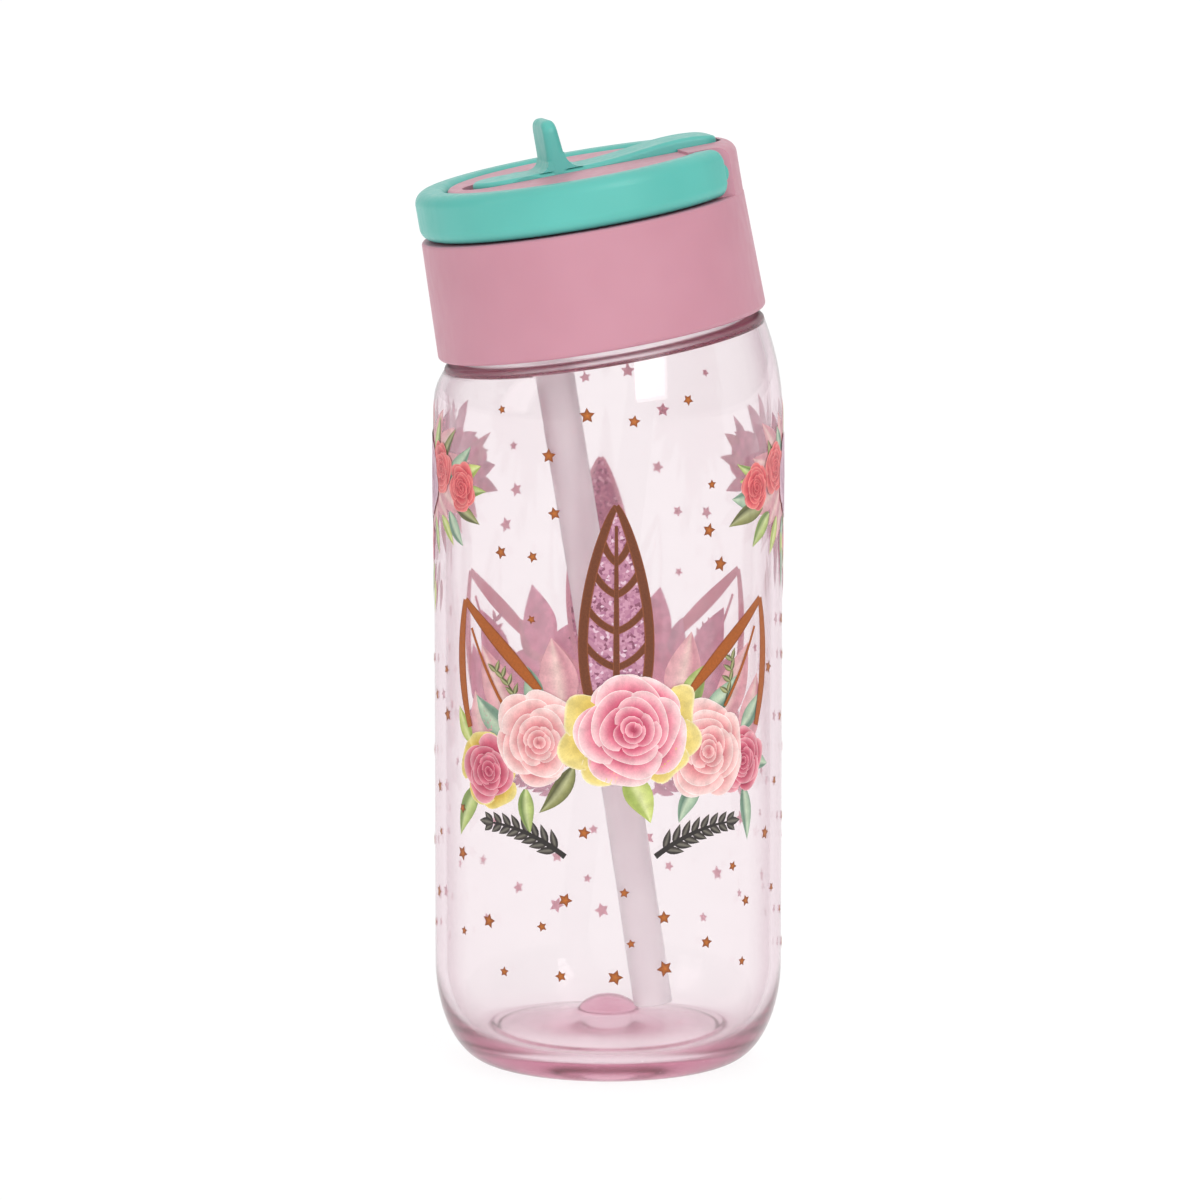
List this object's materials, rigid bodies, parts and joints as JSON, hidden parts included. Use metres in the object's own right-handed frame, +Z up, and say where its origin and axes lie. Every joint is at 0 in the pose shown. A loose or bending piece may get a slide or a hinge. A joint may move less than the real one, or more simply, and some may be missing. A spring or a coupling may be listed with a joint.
{
  "type": "kids water bottle",
  "caption": "Clear pink-tinted drinking bottle with a leaning screw cap, a C-shaped carry handle and a flip-up straw spout with a thumb tab.",
  "frame": {"origin": "centre of the foot ring's plane, on the straight wall's axis", "axes": "+Z up the straight wall; the neck leans 9.6 degrees towards -X; -Y is the side with the main print"},
  "size_m": [0.0735, 0.07, 0.1908],
  "materials": {
    "tinted_clear": "clear glossy pink-tinted plastic with a printed pattern",
    "pink_plastic": "satin moulded plastic, soft pink",
    "pink_liner": "satin moulded plastic, pale pink",
    "teal_plastic": "satin moulded plastic, mint teal",
    "silicone": "translucent white silicone",
    "straw_clear": "frosted clear plastic tube"
  },
  "bodies": {
    "bottle": {"bottle_body": "tinted_clear"},
    "gasket": {"neck_gasket": "silicone"},
    "cap": {"cap_shell": "pink_plastic", "cap_liner": "pink_liner", "spout_seal": "silicone", "seal_retainer": "pink_liner", "straw": "straw_clear", "vent_valve": "silicone"},
    "handle": {"carry_handle": "teal_plastic"},
    "spout": {"flip_spout": "teal_plastic"}
  },
  "joints": [
    {"name": "cap_lift", "type": "slide", "parent": "bottle", "child": "gasket", "axis": [-0.1668, 0, 0.986], "range_m": [0, 0.00401]},
    {"name": "cap_turn", "type": "hinge", "parent": "gasket", "child": "cap", "pos_m": [-0.00122, 0, 0.1478], "axis": [-0.1668, 0, 0.986], "range_deg": [0, 90]},
    {"name": "handle_swing", "type": "hinge", "parent": "cap", "child": "handle", "pos_m": [0.0179, 0.00516, 0.18024], "axis": [-0.205, 0.9781, -0.0347], "range_deg": [0, 105]},
    {"name": "spout_flip", "type": "hinge", "parent": "cap", "child": "spout", "pos_m": [-0.01657, -0.00229, 0.17401], "axis": [0.205, -0.9781, 0.0347], "range_deg": [0, 87]}
  ],
  "couplings": [
    {"joint": "cap_lift", "follows": "cap_turn", "m_per_rad": 0.0025465}
  ]
}
